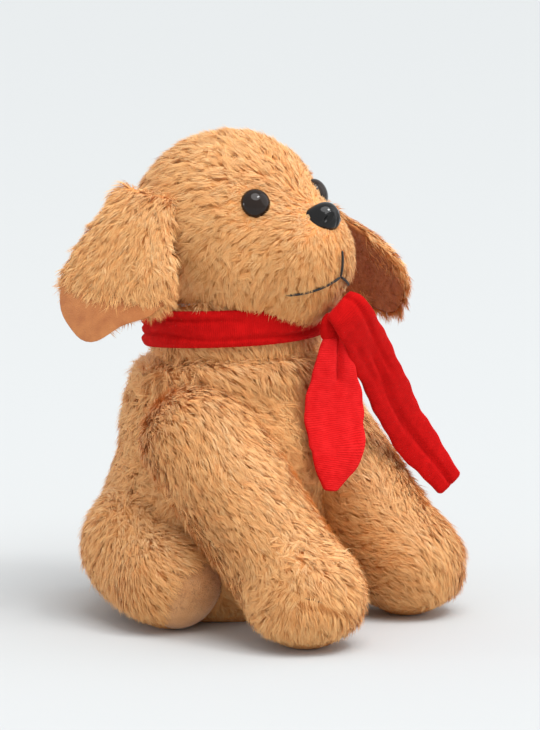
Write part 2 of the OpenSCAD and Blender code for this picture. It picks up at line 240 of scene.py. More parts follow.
WASHER = cloth_material("washer_plastic", (0.78, 0.77, 0.74), (0.84, 0.83, 0.8), 60, 700, roughness=0.45)
THREAD = cloth_material("black_thread", (0.012, 0.011, 0.010), (0.03, 0.027, 0.025), 900, 2500, roughness=0.7)
BROWN_THREAD = cloth_material("brown_thread", (0.20, 0.07, 0.02), (0.28, 0.11, 0.035), 900, 2500,
                              roughness=0.8)


def glossy_material(name, colour, edge):
    material, shader = principled(name, colour, 0.05, Specular_IOR_Level=0.3)
    noise_colour(material, shader, colour, edge, 40, 2)
    return material


EYE = glossy_material("eye_plastic", (0.012, 0.008, 0.006), (0.022, 0.012, 0.008))
NOSE = glossy_material("nose_plastic", (0.008, 0.008, 0.008), (0.014, 0.013, 0.013))

# ---- shapes ----


def capsule(points, a, b, ra, rb):
    """Signed distance to a limb that runs from a to b."""
    axis = b - a
    t = np.clip(((points - a) @ axis) / (axis @ axis), 0, 1)
    return np.linalg.norm(points - (a + t[:, None] * axis), axis=1) - (ra + (rb - ra) * t)


def ball(points, centre, radius):
    return np.linalg.norm(points - centre, axis=1) - radius


def melt(distances, softness):
    """A union of shapes whose joins are rounded."""
    stack = np.stack(distances)
    least = stack.min(0)
    return least - softness * np.log(np.exp(-(stack - least) / softness).sum(0))


def edge_of(field, centre, ways, reach, rounds=24):
    """How far each ray from the centre runs before it leaves the field, found by halving."""
    inner = np.zeros(len(ways))
    outer = np.full(len(ways), reach)
    for _ in range(rounds):
        middle = (inner + outer) / 2
        inside = field(centre + ways * middle[:, None]) < 0
        inner = np.where(inside, middle, inner)
        outer = np.where(inside, outer, middle)
    return inner


def round_grid(level):
    """Points and faces of a ball with radius 1."""
    seed = bmesh.new()
    bmesh.ops.create_icosphere(seed, subdivisions=level, radius=1)
    ways = np.array([v.co[:] for v in seed.verts])
    faces = [[v.index for v in f.verts] for f in seed.faces]
    seed.free()
    return ways, faces


def mesh_object(name, vertices, faces, smooth=True):
    mesh = bpy.data.meshes.new(name)
    mesh.from_pydata([tuple(v) for v in vertices], [], [tuple(f) for f in faces])
    mesh.validate()
    mesh.update()
    if smooth:
        mesh.polygons.foreach_set("use_smooth", np.ones(len(mesh.polygons), bool))
    made = bpy.data.objects.new(name, mesh)
    bpy.context.scene.collection.objects.link(made)
    return made


def dress(made, body, node, material):
    """Gives a piece its body and its material, and hides the CAD node it stands for."""
    made.data.materials.append(material)
    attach(made, body)
    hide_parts(node)


def soft_form(name, centre, field, level=5, reach=0.12, floor=True):
    """A closed skin: rays from the centre end where the field is zero."""
    ways, faces = round_grid(level)
    points = centre + ways * edge_of(field, centre, ways, reach, 26)[:, None]
    if floor:
        points[:, 2] = np.maximum(points[:, 2], 0)
    return mesh_object(name, points, faces)


def up_neck(p):
    """Height above the neck's base along the neck."""
    return (p - NECK_BASE) @ NECK_AXIS


def from_neck(p):
    """Distance from the neck's middle line."""
    return np.linalg.norm(p - (NECK_BASE + up_neck(p)[:, None] * NECK_AXIS), axis=1)


def torso_field(p):
    top = np.array([0, -13, 118]) * MM
    seat = np.array([0, 2, 38]) * MM
    chest = np.array([0, -18, 84]) * MM
    parts = [capsule(p, seat, top, 54 * MM, 36 * MM), ball(p, chest, 37 * MM)]
    for side in (-1, 1):
        parts.append(ball(p, np.array([side * 5, 2, 92]) * MM, 36 * MM))
        parts.append(ball(p, np.array([side * 3, -9, 121]) * MM, 36 * MM))
    return melt(parts, 4 * MM)


def neck_field(p):
    height = up_neck(p)
    around = from_neck(p) - (NECK_R - 0.5 * MM)
    return np.maximum(np.maximum(around, height - NECK_HEIGHT), -height + 0.5 * MM)


def head_field(p):
    skull = ball(p, HEAD + np.array([0, -1.5, 2.5]) * MM, HEAD_R + 1.6 * MM)
    muzzle = ball(p, MUZZLE + np.array([0, 0, -1]) * MM, MUZZLE_R + 2 * MM)
    chin = ball(p, MUZZLE + np.array([0, 5, -12]) * MM, 21 * MM)
    cheeks = [ball(p, MUZZLE + np.array([side * 17, 15, -8]) * MM, 18.5 * MM) for side in (-1, 1)]
    return melt([skull, muzzle, chin, *cheeks], 4 * MM)


def leg_field(side_name):
    shoulder, paw = LEGS[side_name]

    def field(p):
        limb = capsule(p, shoulder, paw, SHOULDER_R - 1 * MM, PAW_R - 2 * MM)
        toes = ball(p, paw + np.array([0, -3, 0]) * MM, PAW_R - 2.6 * MM)
        return melt([limb, toes], 3 * MM)
    return field


def hind_field(side_name):
    hip, foot = HIPS[side_name]

    def field(p):
        limb = capsule(p, hip, foot, HIP_R - 0.5 * MM, FOOT_R - 1 * MM)
        thigh = ball(p, hip + np.array([0, 0, 6]) * MM, HIP_R - 2 * MM)
        return melt([limb, thigh], 3 * MM)
    return field


def tail_field(p):
    return capsule(p, RUMP, RUMP_TIP, 9.5 * MM, 6.5 * MM)


# ---- pile ----

SWIRL_SIZE = 22 * MM
STRANDS_PER_PIECE = 62000
SHORT_BELOW = 16 * MM
ROOT_DEPTH = 0.6 * MM
FLOOR_GAP = 0.5 * MM
WAVES = np.random.default_rng(3)
WAVE_COUNT = 14
WAVE_WAYS = WAVES.normal(size=(3, WAVE_COUNT, 3))
WAVE_PHASES = WAVES.uniform(0, 2 * math.pi, size=(3, WAVE_COUNT))


def swirl(points, size):
    """A smooth random vector at each point; size is the width of a swirl in metres."""
    out = np.zeros((len(points), 3))
    for axis in range(3):
        angle = points @ (WAVE_WAYS[axis] / size).T + WAVE_PHASES[axis]
        out[:, axis] = np.sin(angle).sum(1)
    return out / math.sqrt(WAVE_COUNT / 2)


def read_rows(items, key, kind=float):
    rows = np.zeros(len(items) * 3, kind)
    items.foreach_get(key, rows)
    return rows.reshape(-1, 3)


def surface_samples(base, count, rng):
    """Random places on a skin, evenly by area, with their normals, and the skin's area."""
    mesh = base.data
    mesh.calc_loop_triangles()
    co = read_rows(mesh.vertices, "co")
    normals = read_rows(mesh.vertices, "normal")
    tris = read_rows(mesh.loop_triangles, "vertices", np.int32)
    a, b, c = co[tris[:, 0]], co[tris[:, 1]], co[tris[:, 2]]
    areas = np.linalg.norm(np.cross(b - a, c - a), axis=1) / 2
    picked = rng.choice(len(tris), size=count, p=areas / areas.sum())
    u, v = rng.random(count), rng.random(count)
    over = u + v > 1
    u[over], v[over] = 1 - u[over], 1 - v[over]
    w = 1 - u - v
    t = tris[picked]

    def mix(data):
        return data[t[:, 0]] * w[:, None] + data[t[:, 1]] * u[:, None] + data[t[:, 2]] * v[:, None]

    return mix(co), unit(mix(normals)), areas.sum()


def clump_of(points, centres):
    """The number of the nearest clump centre for each point."""
    tree = kdtree.KDTree(len(centres))
    for i, centre in enumerate(centres):
        tree.insert(centre, i)
    tree.balance()
    return np.array([tree.find(p)[1] for p in points])


def strands(name, body, base, density, length, comb, keep, seed, width, lift=(36, 10), clumping=0.38,
            clump_density=0.2, mess=0.3, materials=None):
    """Grows flat tapering strands from a skin, gathered in clumps, as one or more pieces."""
    rng = np.random.default_rng(seed)
    _, _, area = surface_samples(base, 10, rng)
    count = int(area * 1e6 * density)
    roots, normals, _ = surface_samples(base, count, rng)
    wanted = keep(roots)
    roots, normals = roots[wanted], normals[wanted]
    count = len(roots)
    clump_count = max(int(area * 1e6 * clump_density), 8)
    centres = roots[rng.permutation(count)[:clump_count]]
    clump = clump_of(roots, centres)
    clump_lean = rng.normal(size=(len(centres), 3))
    clump_tone = rng.random(len(centres))
    clump_size = rng.uniform(0.8, 1.2, len(centres))

    def along(points, towards, around, strength):
        way = comb(points) + strength * swirl(points, SWIRL_SIZE) + 0.35 * around
        return unit(way - (way * towards).sum(1)[:, None] * towards)

    way = along(roots, normals, clump_lean[clump], mess)
    size = length(roots) * clump_size[clump] * rng.uniform(0.82, 1.12, count)
    size *= np.clip(roots[:, 2] / SHORT_BELOW, 0.22, 1)
    step = size / 2
    stray = rng.normal(size=(count, 3)) * 0.09
    points = [roots - normals * ROOT_DEPTH]
    for angle in lift:
        a = math.radians(angle)
        points.append(points[-1] + (unit(way * math.cos(a) + normals * math.sin(a) + stray)) * step[:, None])
    middle = centres[clump]
    offset = roots - middle
    for i, gather in ((1, 0.35), (2, 1.0)):
        points[i] = points[i] - offset * (gather * clumping)
    for point in points:
        point[:, 2] = np.maximum(point[:, 2], FLOOR_GAP)
    flat = unit(np.cross(way, normals) + normals * rng.normal(size=(count, 1)) * 0.55)
    half = width * MM / 2 * rng.uniform(0.75, 1.25, count)[:, None]
    soft = unit(normals + 0.22 * flat * rng.normal(size=(count, 1)) + 0.14 * unit(clump_lean[clump]))
    rows = [points[0] - flat * half, points[0] + flat * half,
            points[1] - flat * half * 0.85, points[1] + flat * half * 0.85, points[2]]
    # Each strand's tone picks its pile colour: random by clump and by strand, plus a painted top light that
    # makes upward-facing strands paler.
    tone_and_painted_top_light = clump_tone[clump] * 0.4 + rng.random(count) * 0.3 + 0.3 * np.clip(normals[:, 2], 0, 1)
    pieces = max(1, math.ceil(count / STRANDS_PER_PIECE))
    for k in range(pieces):
        chosen = np.arange(k, count, pieces)
        piece = name if pieces == 1 else name + "_" + str(k + 1)
        put_strands(piece, body, [r[chosen] for r in rows], tone_and_painted_top_light[chosen], soft[chosen], materials or PILE)


def put_strands(name, body, rows, tone_and_painted_top_light, soft, materials):
    """One piece of strands, each a four-sided face with a three-sided tip on five points."""
    count = len(tone_and_painted_top_light)
    vertices = np.stack(rows, axis=1).reshape(-1, 3)
    first = np.arange(count) * 5
    pattern = [0, 1, 3, 2, 2, 3, 4]
    loops = (first[:, None] + np.array(pattern)).reshape(-1)
    starts = (np.arange(count)[:, None] * 7 + np.array([0, 4])).reshape(-1)
    mesh = bpy.data.meshes.new(name)
    mesh.vertices.add(len(vertices))
    mesh.vertices.foreach_set("co", vertices.reshape(-1))
    mesh.loops.add(len(loops))
    mesh.loops.foreach_set("vertex_index", loops.astype(np.int32))
    mesh.polygons.add(len(starts))
    mesh.polygons.foreach_set("loop_start", starts.astype(np.int32))
    mesh.update(calc_edges=True)
    for material in materials:
        mesh.materials.append(material)
    if len(materials) == len(PILE):
        # A higher tone, which carries the painted top light, takes a paler colour.
        lower, tips = len(MIDDLE_COLOURS), len(TIP_COLOURS)
        slot = np.stack([(tone_and_painted_top_light * lower).astype(int).clip(0, lower - 1),
                         lower + (tone_and_painted_top_light * tips).astype(int).clip(0, tips - 1)], axis=1)
    else:
        slot = np.repeat((tone_and_painted_top_light * len(materials)).astype(int).clip(0, len(materials) - 1)[:, None], 2, axis=1)
    mesh.polygons.foreach_set("material_index", slot.reshape(-1).astype(np.int32))
    mesh.polygons.foreach_set("use_smooth", np.ones(len(starts), bool))
    mesh.update()
    mesh.normals_split_custom_set_from_vertices(np.repeat(soft, 5, axis=0).tolist())
    made = bpy.data.objects.new(name, mesh)
    bpy.context.scene.collection.objects.link(made)
    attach(made, body)


def cover(name, body, centre, field, level, reach):
    """The stuffed cover of one part, which stands for the part's CAD skin."""
    made = soft_form(name + "_cover", centre, field, level, reach)
    dress(made, body, name + "_skin", BACKING)
    return made


def outside(*fields, margin=-1.5 * MM):
    """Keeps the roots that lie outside every given body, or at most a little inside."""
    def test(p):
        kept = np.ones(len(p), bool)
        for field in fields:
            kept &= field(p) > margin
        return kept
    return test


# Strands on each square millimetre, and a strand's width in millimetres.
DENSITY, WIDE = ((3.4, 0.36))

def band_field(p):
    """The ring that the scarf's band lies in, where the neck has no pile."""
    height = up_neck(p) - 14.5 * MM
    around = np.abs(from_neck(p) - 41 * MM)
    return np.maximum(np.abs(height) - 7 * MM, around - 4 * MM)


def torso_inside(p):
    """The torso up to the neck's base."""
    return np.maximum(torso_field(p), up_neck(p))


torso = cover("torso", "torso", TORSO_MIDDLE, torso_inside, 5, 0.16)
neck = cover("neck", "neck", NECK_BASE + NECK_AXIS * 15 * MM, neck_field, 4, 0.08)
head = cover("head", "head", HEAD + np.array([0, -12, 0]) * MM, head_field, 6, 0.10)
front = {}
hind = {}
for side_name in ("left", "right"):
    body = "front_leg_" + side_name
    front[side_name] = cover(body, body, sum(LEGS[side_name]) / 2, leg_field(side_name), 5, 0.12)
    body = "hind_leg_" + side_name
    hind[side_name] = cover(body, body, sum(HIPS[side_name]) / 2, hind_field(side_name), 5, 0.10)
tail = cover("tail", "tail", (RUMP + RUMP_TIP) / 2, tail_field, 4, 0.05)


def torso_comb(p):
    out = p - np.array([0, 0, 60 * MM])
    out[:, 2] = 0
    return DOWN + 0.25 * unit(out)


def even(length):
    """The same strand length all over a skin."""
    return lambda p: np.full(len(p), length)


def off_floor(p):
    return p[:, 2] > 1 * MM


filling = soft_form("torso_filling", TORSO_MIDDLE, lambda p: torso_inside(p) + 5.5 * MM, 5, 0.16)
dress(filling, "torso", "torso_stuffing", WADDING)
near_torso = [leg_field("left"), leg_field("right"), hind_field("left"), hind_field("right"), tail_field]
strands("torso_pile", "torso", torso, DENSITY, even(9.5 * MM), torso_comb,
        lambda p: outside(*near_torso)(p) & (up_neck(p) < 9 * MM) & off_floor(p), 11, WIDE)
strands("neck_pile", "neck", neck, DENSITY * 0.8, even(8 * MM), torso_comb,
        lambda p: outside(head_field, band_field)(p) & (up_neck(p) > 1 * MM), 12, WIDE)


# ---- head pile ----


def head_comb(p):
    """Away from the nose, over the skull and down at the back and the cheeks."""
    nose = MUZZLE + NOSE_WAY * MUZZLE_R
    away = unit(p - nose)
    low_part = np.clip((HEAD[2] + 0.01 - p[:, 2]) / 0.04, 0, 1)[:, None]
    return away + DOWN * (0.35 + 0.6 * low_part)


def head_length(p):
    """Shorter round the muzzle, the eyes, the nose and the mouth, longer under the chin."""
    from_muzzle = np.linalg.norm(p - MUZZLE, axis=1)
    grow = np.clip((from_muzzle - 20 * MM) / (30 * MM), 0, 1)
    size = 5.6 * MM + 2.2 * MM * grow + 2.5 * MM * np.clip((MUZZLE[2] - p[:, 2]) / (25 * MM), 0, 1)
    for side in (-1, 1):
        eye = HEAD + EYE_WAY[side] * HEAD_R
        size = size * np.clip(np.linalg.norm(p - eye, axis=1) / (16 * MM), 0.45, 1)
    size = size * np.clip(np.linalg.norm(p - NOSE_AT, axis=1) / (20 * MM), 0.5, 1)
    return size * np.clip(mouth_distance(p) / (6 * MM), 0.4, 1)


def great_arc(start, towards, degrees, steps):
    """Unit vectors along a great circle from start towards another direction."""
    start = unit(start)
    side_way = unit(np.asarray(towards) - (np.asarray(towards) @ start) * start)
    angles = np.radians(np.linspace(0, degrees, steps))
    return np.cos(angles)[:, None] * start + np.sin(angles)[:, None] * side_way


MOUTH_ARCS = [great_arc(MOUTH_MIDDLE, (0, -0.8, 0.6), 25, 14)]
for side in (-1, 1):
    MOUTH_ARCS.append(great_arc(MOUTH_MIDDLE, (side * 0.72, -0.41, -0.56), 56, 26))
NOSE_OUT = unit((0, -0.86, 0.5))
NOSE_UP = unit((0, 0.5, 0.86))
NOSE_AT = MUZZLE + np.array([0, -17.5, 17.2]) * MM


def distance_to(line, p):
    return np.min(np.linalg.norm(p[:, None, :] - line[None, :, :], axis=2), axis=1)


def mouth_distance(p):
    return distance_to(np.concatenate([MUZZLE + arc * MUZZLE_R for arc in MOUTH_ARCS]), p)


def head_keep(p):
    """Leaves the eyes, the nose, the mouth and the neck's opening free of pile."""
    kept = np.ones(len(p), bool)
    for side in (-1, 1):
        kept &= np.linalg.norm(p - (HEAD + EYE_WAY[side] * HEAD_R), axis=1) > 5.6 * MM
    from_nose = p - NOSE_AT
    across, rise = from_nose[:, 0] / (8.6 * MM), from_nose @ NOSE_UP / (5.4 * MM)
    kept &= (across ** 2 + rise ** 2 > 1) | (from_nose @ NOSE_OUT < -12 * MM)
    kept &= mouth_distance(p) > 1.5 * MM
    return kept & outside(neck_field, margin=-0.5 * MM)(p)


strands("head_pile", "head", head, DENSITY * 1.5, head_length, head_comb, head_keep, 21, WIDE * 0.85,
        mess=0.25, clumping=0.35, lift=(34, 8))


# ---- leg pile ----


def paw_arc(side, steps):
    """Directions from a front paw's middle to its stitch line."""
    return great_arc((side * 0.77, -0.62, 0.16), (side * 0.1, -0.99, -0.06), 50, steps)


def front_leg_pile(side_name, side, seed):
    shoulder, paw = LEGS[side_name]
    along_leg = unit(paw - shoulder)
    stitches = paw + paw_arc(side, 20) * PAW_R

    def comb(p):
        return np.tile(along_leg, (len(p), 1)) + DOWN * 0.35

    def length(p):
        near_paw = np.clip(np.linalg.norm(p - paw, axis=1) / (60 * MM), 0, 1)
        return 7.6 * MM + 2.2 * MM * near_paw

    def keep(p):
        return outside(torso_field, margin=-4 * MM)(p) & off_floor(p) & (distance_to(stitches, p) > 1.9 * MM)

    body = "front_leg_" + side_name
    strands(body + "_pile", body, front[side_name], DENSITY, length, comb, keep, seed, WIDE, mess=0.42)


def hind_leg_pile(side_name, seed):
    hip, foot = HIPS[side_name]

    def comb(p):
        return np.tile(unit(foot - hip), (len(p), 1)) * 0.5 + DOWN * 0.8

    def keep(p):
        on_sole = (p - foot) @ SOLE_WAY[side_name] > SOLE_DEPTH
        return outside(torso_field)(p) & ~on_sole & off_floor(p)

    body = "hind_leg_" + side_name
    strands(body + "_pile", body, hind[side_name], DENSITY, even(8.6 * MM), comb, keep, seed, WIDE, mess=0.5)


SOLE_WAY = {"left": unit((0.1, -0.85, -0.3)), "right": unit((-0.1, -0.85, -0.3))}
SOLE_DEPTH = 14.5 * MM
front_leg_pile("left", 1, 31)
front_leg_pile("right", -1, 32)
hind_leg_pile("left", 41)
hind_leg_pile("right", 42)
strands("tail_pile", "tail", tail, DENSITY, even(9 * MM),
        lambda p: np.tile(unit(RUMP_TIP - RUMP), (len(p), 1)),
        lambda p: outside(torso_field)(p) & off_floor(p), 51, WIDE)

# ---- ears ----

EAR_LENGTH = 66 * MM
EAR_WIDTH = 58 * MM
DOME_R = 110 * MM
RIM_POINTS = 72
EAR_WAVE = 0.8 * MM
# Each ear's seam, and its turn, lean out and swing in degrees.
EARS = {"left": (pivot("ear_left_lift"), 0, 31, -35), "right": (pivot("ear_right_lift"), 190, 26, -10)}


def turn(axis, degrees):
    c, s = math.cos(math.radians(degrees)), math.sin(math.radians(degrees))
    if axis == "x":
        return np.array([[1, 0, 0], [0, c, -s], [0, s, c]])
    if axis == "y":
        return np.array([[c, 0, s], [0, 1, 0], [-s, 0, c]])
    return np.array([[c, -s, 0], [s, c, 0], [0, 0, 1]])


def ear_outline():
    """Rim of the flap in its own plane: narrow at the seam, round below."""
    corner = 13 * MM
    seam_r = 4 * MM
    a, b = np.array([0, -11 * MM, -6 * MM]), np.array([0, 11 * MM, -6 * MM])
    c = np.array([0, -EAR_WIDTH / 2 + corner + 5 * MM, -EAR_LENGTH * 0.74])
    d = np.array([0, EAR_WIDTH / 2 - corner, -EAR_LENGTH * 0.62])
    e = np.array([0, -3 * MM, -EAR_LENGTH + corner])
    middle = np.array([0, 0, -EAR_LENGTH * 0.5])

    def field(p):
        return melt([capsule(p, a, c, seam_r, corner), capsule(p, b, d, seam_r, corner),
                     capsule(p, c, e, corner, corner), capsule(p, d, e, corner, corner),
                     capsule(p, a, b, seam_r, seam_r), ball(p, middle, 20 * MM)], 2 * MM)

    angles = np.linspace(0, 2 * math.pi, RIM_POINTS, endpoint=False)
    ways = np.stack([np.zeros(RIM_POINTS), np.sin(angles), np.cos(angles)], axis=1)
    return middle, ways * edge_of(field, middle, ways, RAY_REACH)[:, None]


def patch_faces(rings, around):
    """Faces of a closed patch: rings outwards on both of its sides, then its rim."""
    faces = []
    block = (rings + 1) * around
    for ring in range(rings):
        for k in range(around):
            a, b = ring * around + k, ring * around + (k + 1) % around
            faces.append((a, b, b + around, a + around))
            faces.append((block + a + around, block + b + around, block + b, block + a))
    for k in range(around):
        a, b = rings * around + k, rings * around + (k + 1) % around
        faces.append((a, b, block + b, block + a))
    return faces


def ear_layer(name, side_name, out_height, in_height, droop=0.0):
    """A closed flap on the ear's dome; the heights are functions of the distance from middle to rim."""
    at, turned, out, swing = EARS[side_name]
    middle, rim = ear_outline()
    rings = 16
    ripple = np.sin(np.arange(RIM_POINTS) / RIM_POINTS * 2 * math.pi * 3 + 1)
    vertices = []
    for height in (out_height, in_height):
        for ring in range(rings + 1):
            share = math.sin(ring / rings * math.pi / 2)
            flat = middle + rim * share
            radius = DOME_R + height(share) + EAR_WAVE * share ** 3 * ripple
            low_z = flat[:, 2] + EAR_LENGTH * 0.45
            x = np.sqrt(radius ** 2 - flat[:, 1] ** 2 - low_z ** 2) - DOME_R + 4 * MM
            fall = np.clip(-flat[:, 2] / EAR_LENGTH - 0.45, 0, 1) * droop
            vertices.append(np.stack([x + 0.6 * fall, flat[:, 1] + 0.2 * fall, flat[:, 2] - fall], axis=1))
    matrix = turn("z", turned) @ turn("y", -out) @ turn("x", swing)
    made = mesh_object(name, np.concatenate(vertices) @ matrix.T + at, patch_faces(rings, RIM_POINTS))
    tidy_mesh(made)
    return made, matrix


def tidy_mesh(made):
    """Joins points that coincide and turns all faces outwards."""
    work = bmesh.new()
    work.from_mesh(made.data)
    bmesh.ops.remove_doubles(work, verts=work.verts, dist=1e-6)
    bmesh.ops.dissolve_degenerate(work, edges=work.edges, dist=1e-7)
    bmesh.ops.recalc_face_normals(work, faces=work.faces)
    work.to_mesh(made.data)
    work.free()
    made.data.polygons.foreach_set("use_smooth", np.ones(len(made.data.polygons), bool))


def pile_side(share):
    return (0.5 + 3.0 * math.sqrt(max(1 - share ** 4, 0))) * MM


def lining_side(share):
    return -1.7 * MM * math.sqrt(max(1 - share ** 6, 0))


def make_ear(side_name, droop, pile_seed, lining_seed):
    """A flap with long pile outside and a short-pile lining, which hangs lower by the droop."""
    body = "ear_" + side_name
    pad, ear_turn = ear_layer(body + "_pad", side_name, pile_side, lambda share: 0.2 * MM)
    dress(pad, body, body + "_pile", BACKING)
    inside_pad, _ = ear_layer(body + "_inside", side_name, lambda share: 0.0, lining_side, droop)
    dress(inside_pad, body, body + "_lining", LINING)
    at = EARS[side_name][0]
    dome_middle = -np.array([DOME_R - 4 * MM, 0, EAR_LENGTH * 0.45])

    def comb(p):
        way = np.zeros_like(p)
        way[:, 1] = ((p - at) @ ear_turn)[:, 1] / (EAR_WIDTH / 2) * 0.55
        way[:, 2] = -1
        return way @ ear_turn.T

    def above_dome(p):
        return np.linalg.norm((p - at) @ ear_turn - dome_middle, axis=1) - DOME_R

    strands(body + "_fur", body, pad, DENSITY * 1.5, even(8 * MM), comb, lambda p: above_dome(p) > 0.3 * MM,
            pile_seed, WIDE, mess=0.25, lift=(30, 2))
    strands(body + "_short_fur", body, inside_pad, DENSITY * 0.8, even(1.6 * MM), comb,
            lambda p: above_dome(p) < -0.3 * MM, lining_seed, WIDE * 0.8, mess=0.5, lift=(55, 35),
            materials=SHORT_PILE)


make_ear("left", 0.0, 61, 71)
make_ear("right", 17 * MM, 62, 72)

# ---- soles ----


def shell(name, centre, way, spread, field, out, inn, rings=14, around=48):
    """A thin closed patch that lies on a form, round the given direction."""
    way = unit(way)
    side_way = unit(np.cross(way, (0, 0, 1)))
    up_way = np.cross(side_way, way)
    phi = np.linspace(0, 2 * math.pi, around, endpoint=False)
    circle = np.cos(phi)[:, None] * side_way + np.sin(phi)[:, None] * up_way
    vertices = []
    for lift in (out, inn):
        for ring in range(rings + 1):
            a = math.radians(spread) * ring / rings
            ways = math.cos(a) * way + math.sin(a) * circle
            edge = 1 - (ring / rings) ** 6 if lift > 0 else 1
            reach = edge_of(field, centre, ways, RAY_REACH, 22) + lift * edge
            vertices.append(centre + ways * reach[:, None])
    vertices = np.concatenate(vertices)
    vertices[:, 2] = np.maximum(vertices[:, 2], 0.05 * MM)
    made = mesh_object(name, vertices, patch_faces(rings, around))
    tidy_mesh(made)
    return made


def make_sole(side_name, seed):
    foot = HIPS[side_name][1]
    body = "hind_leg_" + side_name
    patch = shell(body + "_sole_patch", foot, SOLE_WAY[side_name], 56, hind_field(side_name),
                  1.0 * MM, -0.8 * MM)
    dress(patch, body, body + "_sole", SOLE)
    strands(body + "_sole_fur", body, patch, DENSITY * 0.8, even(1.5 * MM),
            lambda p: np.tile(DOWN, (len(p), 1)), lambda p: np.linalg.norm(p - foot, axis=1) > FOOT_R - 1.2 * MM,
            seed, WIDE * 0.8, mess=0.5, lift=(55, 35), materials=SOLE_PILE)


make_sole("left", 81)
make_sole("right", 82)

# ---- eyes, nose, mouth ----

EYE_R = 7 * MM
EYE_HEIGHT = 4.8 * MM


def make_eye(side_name, side):
    """A domed safety eye that sits in the face, its rim below the pile."""
    way = EYE_WAY[side]
    surface = edge_of(head_field, HEAD, way[None, :], RAY_REACH)[0]
    ways, faces = round_grid(5)
    along = ways @ way
    points = (HEAD + way * (surface - 0.2 * MM) + (ways - along[:, None] * way) * EYE_R
              + along[:, None] * way * EYE_HEIGHT)
    made = mesh_object("eye_dome_" + side_name, points, faces)
    dress(made, "head", "eye_" + side_name, EYE)


def make_nose():
    """A moulded nose: wide above, tapering below, with two nostrils and a groove under them."""
    ways, faces = round_grid(6)
    x, rise, out = ways[:, 0], ways[:, 2], -ways[:, 1]
    taper = 1 - 0.36 * np.clip(-rise, 0, 1) ** 1.4
    wide = np.sign(x) * np.abs(x) ** 0.92 * 11 * MM * taper
    high_up = 7.2 * MM * np.sign(rise) * np.abs(rise) ** 0.9
    depth = 7.4 * MM * np.sign(out) * np.abs(out) ** 0.85 - 58 * wide ** 2
    for side in (-1, 1):
        u = (wide - side * 4.4 * MM) / (2.0 * MM)
        v = (high_up + 0.4 * MM + 0.35 * np.abs(wide)) / (1.35 * MM)
        ring = np.sqrt(u ** 2 + v ** 2)
        front = np.clip(out * 3, 0, 1)
        rim = 0.35 * MM * np.exp(-((ring - 1.45) / 0.35) ** 2)
        depth += front * (-1.5 * MM * np.exp(-ring ** 2 * 1.3) + rim)
    groove = np.exp(-(wide / (0.7 * MM)) ** 2) * np.clip(-rise * 2, 0, 1) * np.clip(out * 2, 0, 1)
    depth -= 0.55 * MM * groove
    points = (NOSE_AT + wide[:, None] * np.array([1, 0, 0]) + high_up[:, None] * NOSE_UP
              + depth[:, None] * NOSE_OUT)
    made = mesh_object("moulded_nose", points, faces)
    dress(made, "head", "nose", NOSE)


make_eye("left", 1)
make_eye("right", -1)
make_nose()


def tube(name, path, radius, around=10):
    """A closed round thread along a path, thinner at its ends."""
    path = np.asarray(path)
    tangent = unit(np.gradient(path, axis=0))
    side_way = unit(np.cross(tangent, (0.3, 0.2, 1)))
    up_way = np.cross(side_way, tangent)
    phi = np.linspace(0, 2 * math.pi, around, endpoint=False)
    position = np.linspace(0, 1, len(path))
    thick = radius * np.clip(np.minimum(position, 1 - position) * 12 + 0.35, 0.35, 1)
    rings = [path[i] + thick[i] * (np.cos(phi)[:, None] * side_way[i] + np.sin(phi)[:, None] * up_way[i])
             for i in range(len(path))]
    vertices = np.concatenate(rings + [path[:1], path[-1:]])
    faces = []
    for i in range(len(path) - 1):
        for k in range(around):
            a, b = i * around + k, i * around + (k + 1) % around
            faces.append((a, b, b + around, a + around))
    last = (len(path) - 1) * around
    for k in range(around):
        faces.append((len(vertices) - 2, (k + 1) % around, k))
        faces.append((len(vertices) - 1, last + k, last + (k + 1) % around))
    return mesh_object(name, vertices, faces)


def on_head(ways, lift):
    """Where rays from the muzzle's middle leave the head, lifted a little."""
    return MUZZLE + ways * (edge_of(head_field, MUZZLE, ways, RAY_REACH) + lift)[:, None]


for side_name, side in (("left", 1), ("right", -1)):
    body = "front_leg_" + side_name
    seam = tube(body + "_seam", LEGS[side_name][1] + paw_arc(side, 30) * (PAW_R + 2.2 * MM), 0.4 * MM)
    dress(seam, body, body + "_paw_stitching", BROWN_THREAD)

mouth_parts = [tube("mouth_" + str(k), on_head(arc, 1.9 * MM), 0.62 * MM) for k, arc in enumerate(MOUTH_ARCS)]
with bpy.context.temp_override(active_object=mouth_parts[0], selected_editable_objects=mouth_parts):
    bpy.ops.object.join()
mouth = mouth_parts[0]
mouth.name = "mouth_thread"
dress(mouth, "head", "mouth_stitching", THREAD)

# ---- scarf ----


def smooth_path(values, steps):
    """Catmull-Rom curve through the values."""
    values = np.asarray(values, float)
    values = values.reshape(len(values), -1)
    extended = np.concatenate([2 * values[:1] - values[1:2], values, 2 * values[-1:] - values[-2:-1]])
    t = np.linspace(0, len(values) - 1 - 1e-9, steps)
    k = t.astype(int)
    f = (t - k)[:, None]
    p0, p1, p2, p3 = (extended[k + i] for i in range(4))
    return 0.5 * (2 * p1 + (p2 - p0) * f + (2 * p0 - 5 * p1 + 4 * p2 - p3) * f ** 2
                  + (3 * p1 - p0 - 3 * p2 + p3) * f ** 3)


def power(v, e):
    """A power that keeps the sign, which squares off a round section."""
    return np.sign(v) * np.abs(v) ** e


